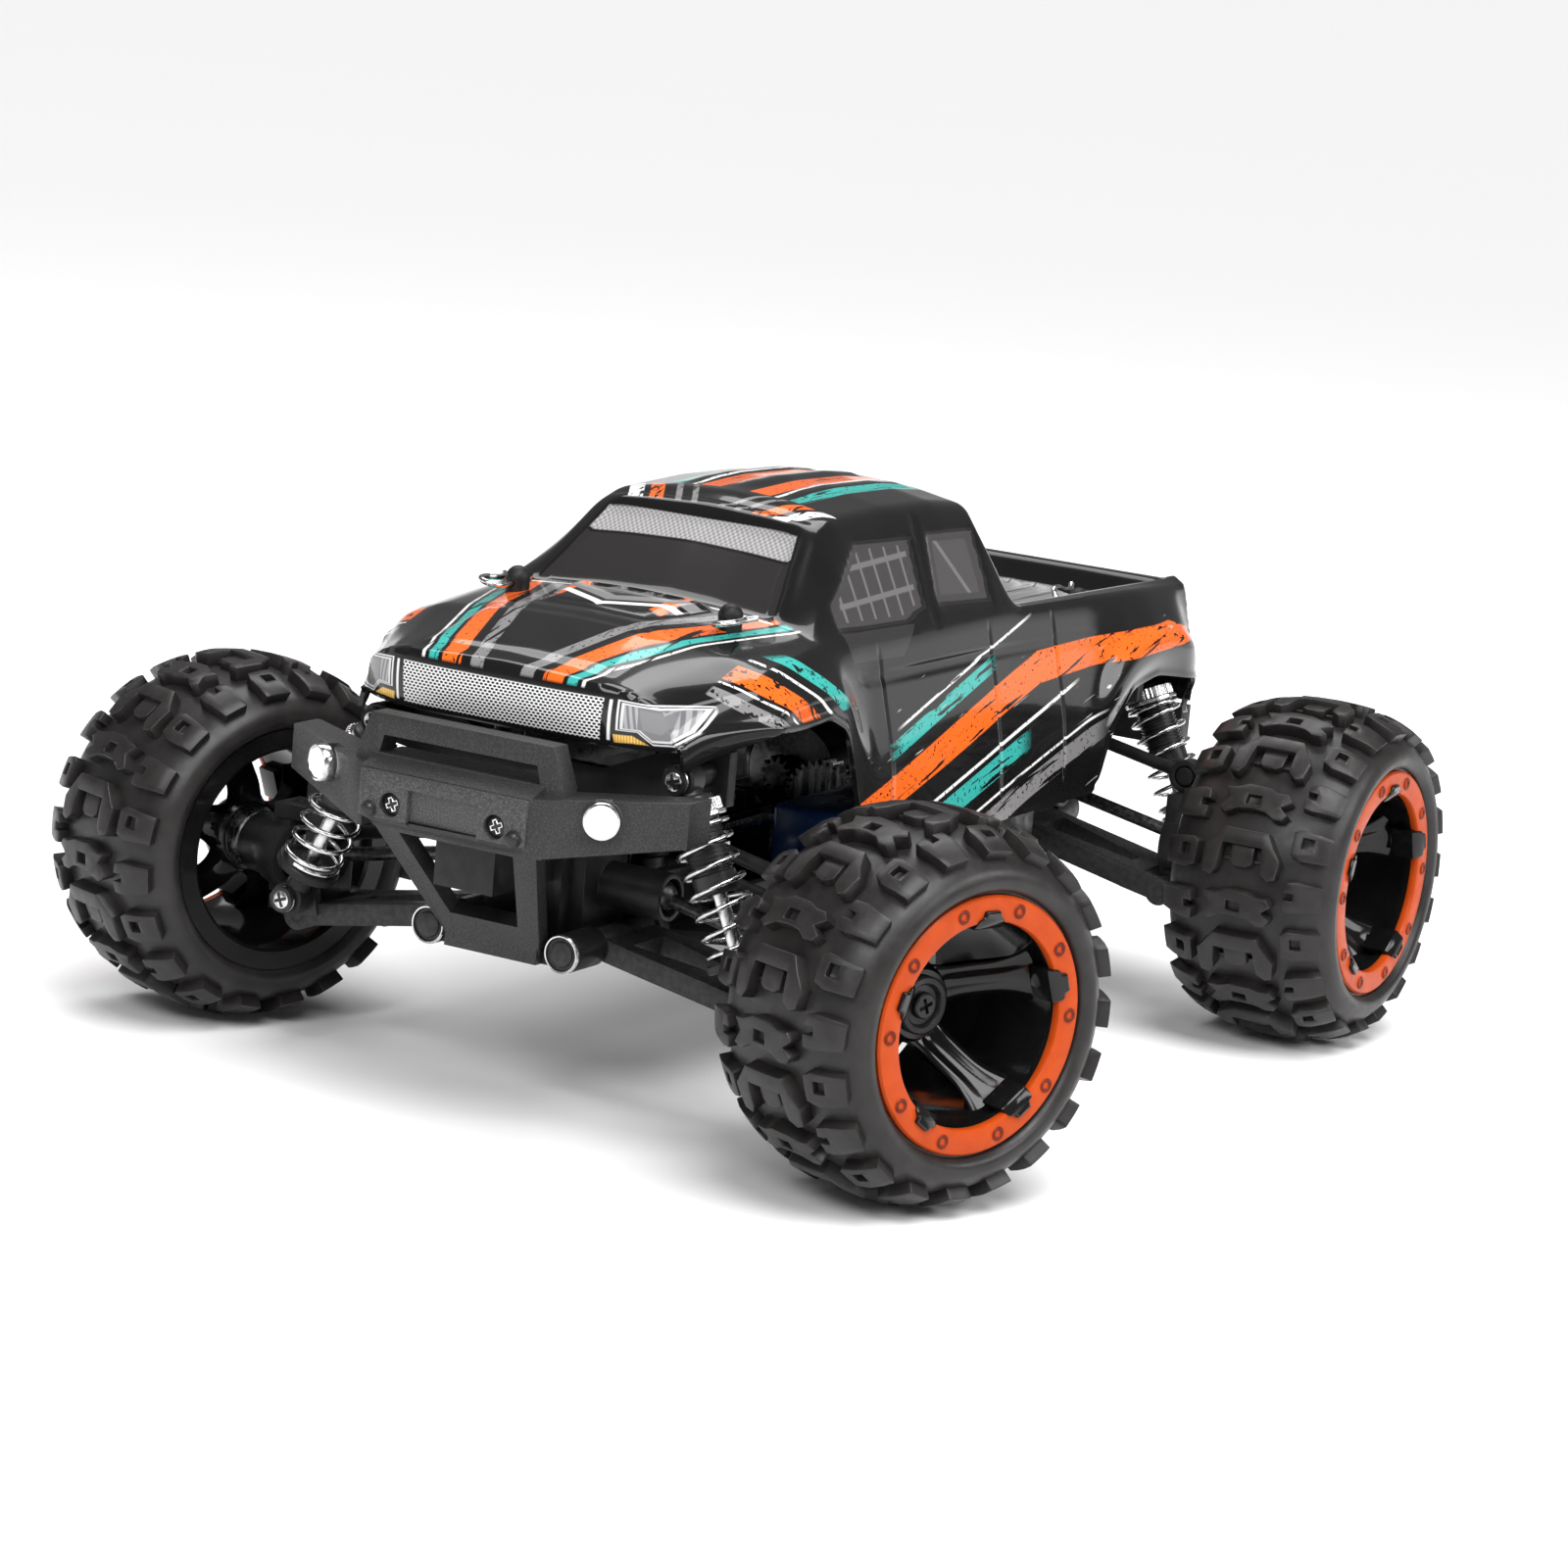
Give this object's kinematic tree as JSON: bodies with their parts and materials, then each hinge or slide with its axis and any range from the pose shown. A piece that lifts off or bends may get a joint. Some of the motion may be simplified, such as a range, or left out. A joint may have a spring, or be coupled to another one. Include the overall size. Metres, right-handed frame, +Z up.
{
  "type": "remote controlled monster truck",
  "caption": "All-wheel-drive toy monster truck: block tyres on bead-lock rims, swing-arm suspension with coil shocks, steered front wheels, pickup body on clips.",
  "frame": {"origin": "on the ground under the middle of the wheelbase", "axes": "+X forward, +Y to the truck's left, +Z up"},
  "size_m": [0.2766, 0.2386, 0.1245],
  "materials": {
    "tyre": "matte, slightly dusty",
    "rim": "gloss black",
    "ring": "satin orange",
    "arm": "moulded matte black",
    "steel": "bright turned steel",
    "shock": "semi-gloss black with a thread",
    "spring": "bright spring wire",
    "chassis": "moulded matte black",
    "bumper": "sand-textured dark grey",
    "lamp": "clear lens, lit white",
    "shell": "gloss printed polycarbonate",
    "servo": "matte black",
    "motor": "dark painted can",
    "pinion": "machined",
    "battery": "shrink wrap, blue",
    "controller": "matte with fins"
  },
  "bodies": {
    "chassis": {"chassis_tub": "chassis", "gearbox_cases": "chassis", "shock_towers": "chassis", "front_bumper": "bumper", "bumper_lamps": "lamp", "body_shell": "shell", "steering_servo": "servo", "motor": "motor", "battery_pack": "battery", "speed_controller": "controller", "fasteners": "steel"},
    "arm_front_left": {"lower_arm_front_left": "arm"},
    "hub_front_left": {"caster_block_front_left": "arm"},
    "link_front_left": {"upper_link_front_left": "arm"},
    "half_shaft_front_left": {"half_shaft_front_left": "steel"},
    "shock_body_front_left": {"shock_body_front_left": "shock", "shock_spring_front_left": "spring"},
    "shock_shaft_front_left": {"shock_shaft_front_left": "steel"},
    "wheel_front_left": {"tyre_front_left": "tyre", "rim_front_left": "rim", "beadlock_ring_front_left": "ring"},
    "knuckle_front_left": {"steering_knuckle_front_left": "arm"},
    "arm_front_right": {"lower_arm_front_right": "arm"},
    "hub_front_right": {"caster_block_front_right": "arm"},
    "link_front_right": {"upper_link_front_right": "arm"},
    "half_shaft_front_right": {"half_shaft_front_right": "steel"},
    "shock_body_front_right": {"shock_body_front_right": "shock", "shock_spring_front_right": "spring"},
    "shock_shaft_front_right": {"shock_shaft_front_right": "steel"},
    "wheel_front_right": {"tyre_front_right": "tyre", "rim_front_right": "rim", "beadlock_ring_front_right": "ring"},
    "knuckle_front_right": {"steering_knuckle_front_right": "arm"},
    "arm_rear_left": {"lower_arm_rear_left": "arm"},
    "hub_rear_left": {"hub_carrier_rear_left": "arm"},
    "link_rear_left": {"upper_link_rear_left": "arm"},
    "half_shaft_rear_left": {"half_shaft_rear_left": "steel"},
    "shock_body_rear_left": {"shock_body_rear_left": "shock", "shock_spring_rear_left": "spring"},
    "shock_shaft_rear_left": {"shock_shaft_rear_left": "steel"},
    "wheel_rear_left": {"tyre_rear_left": "tyre", "rim_rear_left": "rim", "beadlock_ring_rear_left": "ring"},
    "arm_rear_right": {"lower_arm_rear_right": "arm"},
    "hub_rear_right": {"hub_carrier_rear_right": "arm"},
    "link_rear_right": {"upper_link_rear_right": "arm"},
    "half_shaft_rear_right": {"half_shaft_rear_right": "steel"},
    "shock_body_rear_right": {"shock_body_rear_right": "shock", "shock_spring_rear_right": "spring"},
    "shock_shaft_rear_right": {"shock_shaft_rear_right": "steel"},
    "wheel_rear_right": {"tyre_rear_right": "tyre", "rim_rear_right": "rim", "beadlock_ring_rear_right": "ring"},
    "servo_saver": {"servo_saver": "arm"},
    "idler_crank": {"idler_crank": "arm"},
    "centre_link": {"centre_link": "steel"},
    "tie_rod_front_left": {"tie_rod_front_left": "arm"},
    "tie_rod_front_right": {"tie_rod_front_right": "arm"},
    "centre_shaft": {"centre_shaft": "steel"},
    "motor_pinion": {"motor_pinion": "pinion"}
  },
  "joints": [
    {"name": "suspension_front_left", "type": "hinge", "parent": "chassis", "child": "arm_front_left", "pos_m": [0.088, 0.016, 0.037], "axis": [1, 0, 0], "range_deg": [-8, 12], "stiffness_Nm_per_rad": 0.8, "springref_deg": -5.73},
    {"name": "hub_tilt_front_left", "type": "hinge", "parent": "arm_front_left", "child": "hub_front_left", "pos_m": [0.088, 0.0576, 0.029], "axis": [1, 0, 0], "range_deg": [-12, 8]},
    {"name": "link_swing_front_left", "type": "hinge", "parent": "chassis", "child": "link_front_left", "pos_m": [0.088, 0.016, 0.063], "axis": [1, 0, 0], "range_deg": [-8, 12]},
    {"name": "half_shaft_swing_front_left", "type": "hinge", "parent": "chassis", "child": "half_shaft_front_left", "pos_m": [0.088, 0.024, 0.047], "axis": [1, 0, 0], "range_deg": [-8, 12]},
    {"name": "shock_swing_front_left", "type": "hinge", "parent": "chassis", "child": "shock_body_front_left", "pos_m": [0.103, 0.036, 0.075], "axis": [1, 0, 0], "range_deg": [-3.54, 5.26]},
    {"name": "shock_stroke_front_left", "type": "slide", "parent": "shock_body_front_left", "child": "shock_shaft_front_left", "axis": [0, 0.4313, -0.9022], "range_m": [-0.00739, 0.00496], "deforming": ["shock_spring_front_left"]},
    {"name": "steering", "type": "hinge", "parent": "hub_front_left", "child": "knuckle_front_left", "pos_m": [0.088, 0.0656, 0.039], "axis": [0, 0, 1], "range_deg": [-5, 45]},
    {"name": "wheel_spin_front_left", "type": "hinge", "parent": "knuckle_front_left", "child": "wheel_front_left", "pos_m": [0.096, 0.08759, 0.039], "axis": [0.342, 0.9397, 0], "continuous": true},
    {"name": "suspension_front_right", "type": "hinge", "parent": "chassis", "child": "arm_front_right", "pos_m": [0.088, -0.016, 0.037], "axis": [-1, 0, 0], "range_deg": [-8, 12], "stiffness_Nm_per_rad": 0.8, "springref_deg": -5.73},
    {"name": "hub_tilt_front_right", "type": "hinge", "parent": "arm_front_right", "child": "hub_front_right", "pos_m": [0.088, -0.0576, 0.029], "axis": [-1, 0, 0], "range_deg": [-12, 8]},
    {"name": "link_swing_front_right", "type": "hinge", "parent": "chassis", "child": "link_front_right", "pos_m": [0.088, -0.016, 0.063], "axis": [-1, 0, 0], "range_deg": [-8, 12]},
    {"name": "half_shaft_swing_front_right", "type": "hinge", "parent": "chassis", "child": "half_shaft_front_right", "pos_m": [0.088, -0.024, 0.047], "axis": [-1, 0, 0], "range_deg": [-8, 12]},
    {"name": "shock_swing_front_right", "type": "hinge", "parent": "chassis", "child": "shock_body_front_right", "pos_m": [0.103, -0.036, 0.075], "axis": [-1, 0, 0], "range_deg": [-3.54, 5.26]},
    {"name": "shock_stroke_front_right", "type": "slide", "parent": "shock_body_front_right", "child": "shock_shaft_front_right", "axis": [0, -0.4313, -0.9022], "range_m": [-0.00739, 0.00496], "deforming": ["shock_spring_front_right"]},
    {"name": "knuckle_turn_front_right", "type": "hinge", "parent": "hub_front_right", "child": "knuckle_front_right", "pos_m": [0.088, -0.0656, 0.039], "axis": [0, 0, 1], "range_deg": [-5, 45]},
    {"name": "wheel_spin_front_right", "type": "hinge", "parent": "knuckle_front_right", "child": "wheel_front_right", "pos_m": [0.08, -0.08759, 0.039], "axis": [-0.342, -0.9397, 0], "continuous": true},
    {"name": "suspension_rear_left", "type": "hinge", "parent": "chassis", "child": "arm_rear_left", "pos_m": [-0.088, 0.016, 0.037], "axis": [1, 0, 0], "range_deg": [-8, 12], "stiffness_Nm_per_rad": 0.8, "springref_deg": -5.73},
    {"name": "hub_tilt_rear_left", "type": "hinge", "parent": "arm_rear_left", "child": "hub_rear_left", "pos_m": [-0.088, 0.0576, 0.029], "axis": [1, 0, 0], "range_deg": [-12, 8]},
    {"name": "link_swing_rear_left", "type": "hinge", "parent": "chassis", "child": "link_rear_left", "pos_m": [-0.088, 0.016, 0.063], "axis": [1, 0, 0], "range_deg": [-8, 12]},
    {"name": "half_shaft_swing_rear_left", "type": "hinge", "parent": "chassis", "child": "half_shaft_rear_left", "pos_m": [-0.088, 0.024, 0.047], "axis": [1, 0, 0], "range_deg": [-8, 12]},
    {"name": "shock_swing_rear_left", "type": "hinge", "parent": "chassis", "child": "shock_body_rear_left", "pos_m": [-0.103, 0.036, 0.075], "axis": [1, 0, 0], "range_deg": [-3.54, 5.26]},
    {"name": "shock_stroke_rear_left", "type": "slide", "parent": "shock_body_rear_left", "child": "shock_shaft_rear_left", "axis": [0, 0.4313, -0.9022], "range_m": [-0.00739, 0.00496], "deforming": ["shock_spring_rear_left"]},
    {"name": "wheel_spin_rear_left", "type": "hinge", "parent": "hub_rear_left", "child": "wheel_rear_left", "pos_m": [-0.088, 0.089, 0.039], "axis": [0, 1, 0], "continuous": true},
    {"name": "suspension_rear_right", "type": "hinge", "parent": "chassis", "child": "arm_rear_right", "pos_m": [-0.088, -0.016, 0.037], "axis": [-1, 0, 0], "range_deg": [-8, 12], "stiffness_Nm_per_rad": 0.8, "springref_deg": -5.73},
    {"name": "hub_tilt_rear_right", "type": "hinge", "parent": "arm_rear_right", "child": "hub_rear_right", "pos_m": [-0.088, -0.0576, 0.029], "axis": [-1, 0, 0], "range_deg": [-12, 8]},
    {"name": "link_swing_rear_right", "type": "hinge", "parent": "chassis", "child": "link_rear_right", "pos_m": [-0.088, -0.016, 0.063], "axis": [-1, 0, 0], "range_deg": [-8, 12]},
    {"name": "half_shaft_swing_rear_right", "type": "hinge", "parent": "chassis", "child": "half_shaft_rear_right", "pos_m": [-0.088, -0.024, 0.047], "axis": [-1, 0, 0], "range_deg": [-8, 12]},
    {"name": "shock_swing_rear_right", "type": "hinge", "parent": "chassis", "child": "shock_body_rear_right", "pos_m": [-0.103, -0.036, 0.075], "axis": [-1, 0, 0], "range_deg": [-3.54, 5.26]},
    {"name": "shock_stroke_rear_right", "type": "slide", "parent": "shock_body_rear_right", "child": "shock_shaft_rear_right", "axis": [0, -0.4313, -0.9022], "range_m": [-0.00739, 0.00496], "deforming": ["shock_spring_rear_right"]},
    {"name": "wheel_spin_rear_right", "type": "hinge", "parent": "hub_rear_right", "child": "wheel_rear_right", "pos_m": [-0.088, -0.089, 0.039], "axis": [0, -1, 0], "continuous": true},
    {"name": "servo_saver_turn", "type": "hinge", "parent": "chassis", "child": "servo_saver", "pos_m": [0.0695, 0.009, 0.052], "axis": [0, 0, 1], "range_deg": [-5, 45]},
    {"name": "idler_crank_turn", "type": "hinge", "parent": "chassis", "child": "idler_crank", "pos_m": [0.0695, -0.009, 0.052], "axis": [0, 0, 1], "range_deg": [-5, 45]},
    {"name": "centre_link_pivot", "type": "hinge", "parent": "servo_saver", "child": "centre_link", "pos_m": [0.05822, 0.0131, 0.056], "axis": [0, 0, 1], "range_deg": [-45, 5]},
    {"name": "tie_rod_swing_front_left", "type": "hinge", "parent": "centre_link", "child": "tie_rod_front_left", "pos_m": [0.07672, 0.0281, 0.051], "axis": [1, 0, 0], "range_deg": [-8, 12]},
    {"name": "tie_rod_swing_front_right", "type": "hinge", "parent": "centre_link", "child": "tie_rod_front_right", "pos_m": [0.07672, -0.0199, 0.051], "axis": [-1, 0, 0], "range_deg": [-8, 12]},
    {"name": "drive", "type": "hinge", "parent": "chassis", "child": "centre_shaft", "pos_m": [0, 0, 0.047], "axis": [1, 0, 0], "continuous": true},
    {"name": "pinion_spin", "type": "hinge", "parent": "chassis", "child": "motor_pinion", "pos_m": [0, -0.01224, 0.05194], "axis": [1, 0, 0], "continuous": true}
  ],
  "couplings": [
    {"joint": "hub_tilt_front_left", "follows": "suspension_front_left", "ratio": -1},
    {"joint": "link_swing_front_left", "follows": "suspension_front_left", "ratio": 1},
    {"joint": "half_shaft_swing_front_left", "follows": "suspension_front_left", "ratio": 1},
    {"joint": "shock_swing_front_left", "follows": "suspension_front_left", "ratio": 0.43},
    {"joint": "shock_stroke_front_left", "follows": "suspension_front_left", "m_per_rad": -0.0348},
    {"joint": "hub_tilt_front_right", "follows": "suspension_front_right", "ratio": -1},
    {"joint": "link_swing_front_right", "follows": "suspension_front_right", "ratio": 1},
    {"joint": "half_shaft_swing_front_right", "follows": "suspension_front_right", "ratio": 1},
    {"joint": "shock_swing_front_right", "follows": "suspension_front_right", "ratio": 0.43},
    {"joint": "shock_stroke_front_right", "follows": "suspension_front_right", "m_per_rad": -0.0348},
    {"joint": "knuckle_turn_front_right", "follows": "steering", "ratio": 1},
    {"joint": "hub_tilt_rear_left", "follows": "suspension_rear_left", "ratio": -1},
    {"joint": "link_swing_rear_left", "follows": "suspension_rear_left", "ratio": 1},
    {"joint": "half_shaft_swing_rear_left", "follows": "suspension_rear_left", "ratio": 1},
    {"joint": "shock_swing_rear_left", "follows": "suspension_rear_left", "ratio": 0.43},
    {"joint": "shock_stroke_rear_left", "follows": "suspension_rear_left", "m_per_rad": -0.0348},
    {"joint": "hub_tilt_rear_right", "follows": "suspension_rear_right", "ratio": -1},
    {"joint": "link_swing_rear_right", "follows": "suspension_rear_right", "ratio": 1},
    {"joint": "half_shaft_swing_rear_right", "follows": "suspension_rear_right", "ratio": 1},
    {"joint": "shock_swing_rear_right", "follows": "suspension_rear_right", "ratio": 0.43},
    {"joint": "shock_stroke_rear_right", "follows": "suspension_rear_right", "m_per_rad": -0.0348},
    {"joint": "servo_saver_turn", "follows": "steering", "ratio": 1},
    {"joint": "idler_crank_turn", "follows": "steering", "ratio": 1},
    {"joint": "centre_link_pivot", "follows": "steering", "ratio": -1},
    {"joint": "tie_rod_swing_front_left", "follows": "suspension_front_left", "ratio": 1},
    {"joint": "tie_rod_swing_front_right", "follows": "suspension_front_right", "ratio": 1},
    {"joint": "pinion_spin", "follows": "drive", "ratio": -2.6667}
  ]
}
